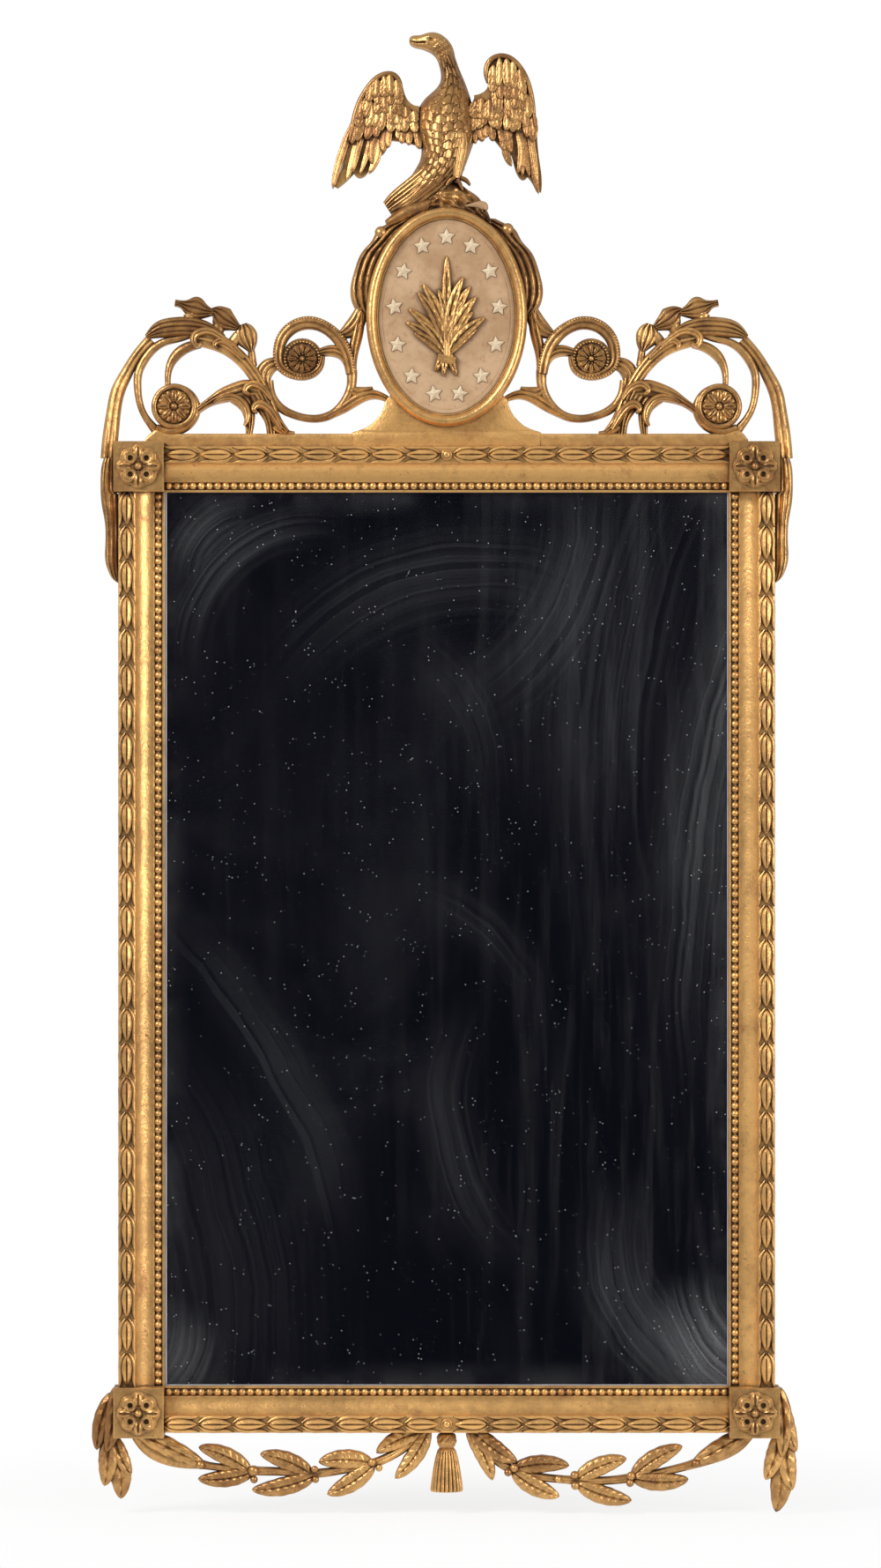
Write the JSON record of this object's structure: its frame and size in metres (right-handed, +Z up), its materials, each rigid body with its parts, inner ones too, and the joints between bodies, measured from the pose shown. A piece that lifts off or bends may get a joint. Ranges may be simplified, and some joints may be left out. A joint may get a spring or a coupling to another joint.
{
  "type": "federal mirror",
  "caption": "Tall gilded wall mirror with corner blocks, husk and bead mouldings, a pierced scroll crest with an oval star medallion and a spread eagle, and leaf garlands below.",
  "frame": {"origin": "on the wall plane, midway between the pivots of the two hanger rings", "axes": "+Z up, +Y back into the wall, +X to the right as seen from the front; the glass faces -Y"},
  "size_m": [0.6388, 0.052, 1.3452],
  "materials": {
    "gilded_wood": "water-gilded over red-brown bole, worn and toned",
    "ivory_paint": "aged ivory paint",
    "silvered_glass": "silvered glass with a faint haze",
    "bare_pine": "bare aged pine",
    "grey_card": "plain card",
    "hardware_brass": "dull brass",
    "screw_steel": "plain steel",
    "strap_iron": "black iron",
    "bumper_rubber": "soft dark rubber"
  },
  "bodies": {
    "mirror": {"backboard": "bare_pine", "backing_sheet": "grey_card", "bead_strip_bottom": "gilded_wood", "bead_strip_left": "gilded_wood", "bead_strip_right": "gilded_wood", "bead_strip_top": "gilded_wood", "corner_block_bottom_left": "gilded_wood", "corner_block_bottom_right": "gilded_wood", "corner_block_top_left": "gilded_wood", "corner_block_top_right": "gilded_wood", "corner_drop_left": "gilded_wood", "corner_drop_right": "gilded_wood", "corner_rosette_bottom_left": "gilded_wood", "corner_rosette_bottom_right": "gilded_wood", "corner_rosette_top_left": "gilded_wood", "corner_rosette_top_right": "gilded_wood", "crest_board": "gilded_wood", "crest_scroll_left": "gilded_wood", "crest_scroll_right": "gilded_wood", "crest_strap": "strap_iron", "dowels": "bare_pine", "eagle_body": "gilded_wood", "eagle_perch": "gilded_wood", "eagle_wing_left": "gilded_wood", "eagle_wing_right": "gilded_wood", "garland_left": "gilded_wood", "garland_right": "gilded_wood", "hanger_strap_left": "hardware_brass", "hanger_strap_right": "hardware_brass", "husk_centre_beads": "gilded_wood", "husk_strip_bottom_left": "gilded_wood", "husk_strip_bottom_right": "gilded_wood", "husk_strip_left": "gilded_wood", "husk_strip_right": "gilded_wood", "husk_strip_top_left": "gilded_wood", "husk_strip_top_right": "gilded_wood", "medallion_panel": "ivory_paint", "medallion_sheaf": "gilded_wood", "medallion_stars": "gilded_wood", "mirror_glass": "silvered_glass", "oval_frame": "gilded_wood", "rail_bottom": "gilded_wood", "rail_top": "gilded_wood", "scroll_rosettes_inner": "gilded_wood", "scroll_rosettes_outer": "gilded_wood", "side_drop_left": "gilded_wood", "side_drop_right": "gilded_wood", "stile_left": "gilded_wood", "stile_right": "gilded_wood", "tassel": "gilded_wood", "turn_button_screws": "screw_steel", "wall_bumpers": "bumper_rubber", "wood_screws": "screw_steel"},
    "hanger_ring_left": {"hanger_ring_left": "hardware_brass"},
    "hanger_ring_right": {"hanger_ring_right": "hardware_brass"},
    "turn_button_left_lower": {"turn_button_left_lower": "hardware_brass"},
    "turn_button_left_upper": {"turn_button_left_upper": "hardware_brass"},
    "turn_button_right_lower": {"turn_button_right_lower": "hardware_brass"},
    "turn_button_right_upper": {"turn_button_right_upper": "hardware_brass"}
  },
  "joints": [
    {"name": "hanger_ring_left_swing", "type": "hinge", "parent": "mirror", "child": "hanger_ring_left", "pos_m": [-0.2805, -0.00325, 0], "axis": [1, 0, 0], "range_deg": [0, 180]},
    {"name": "hanger_ring_right_swing", "type": "hinge", "parent": "mirror", "child": "hanger_ring_right", "pos_m": [0.2805, -0.00325, 0], "axis": [1, 0, 0], "range_deg": [0, 180]},
    {"name": "turn_button_left_lower_turn", "type": "hinge", "parent": "mirror", "child": "turn_button_left_lower", "pos_m": [-0.271, -0.00515, -0.49], "axis": [0, 1, 0], "continuous": true},
    {"name": "turn_button_left_upper_turn", "type": "hinge", "parent": "mirror", "child": "turn_button_left_upper", "pos_m": [-0.271, -0.00515, -0.09], "axis": [0, 1, 0], "continuous": true},
    {"name": "turn_button_right_lower_turn", "type": "hinge", "parent": "mirror", "child": "turn_button_right_lower", "pos_m": [0.271, -0.00515, -0.49], "axis": [0, 1, 0], "continuous": true},
    {"name": "turn_button_right_upper_turn", "type": "hinge", "parent": "mirror", "child": "turn_button_right_upper", "pos_m": [0.271, -0.00515, -0.09], "axis": [0, 1, 0], "continuous": true}
  ]
}
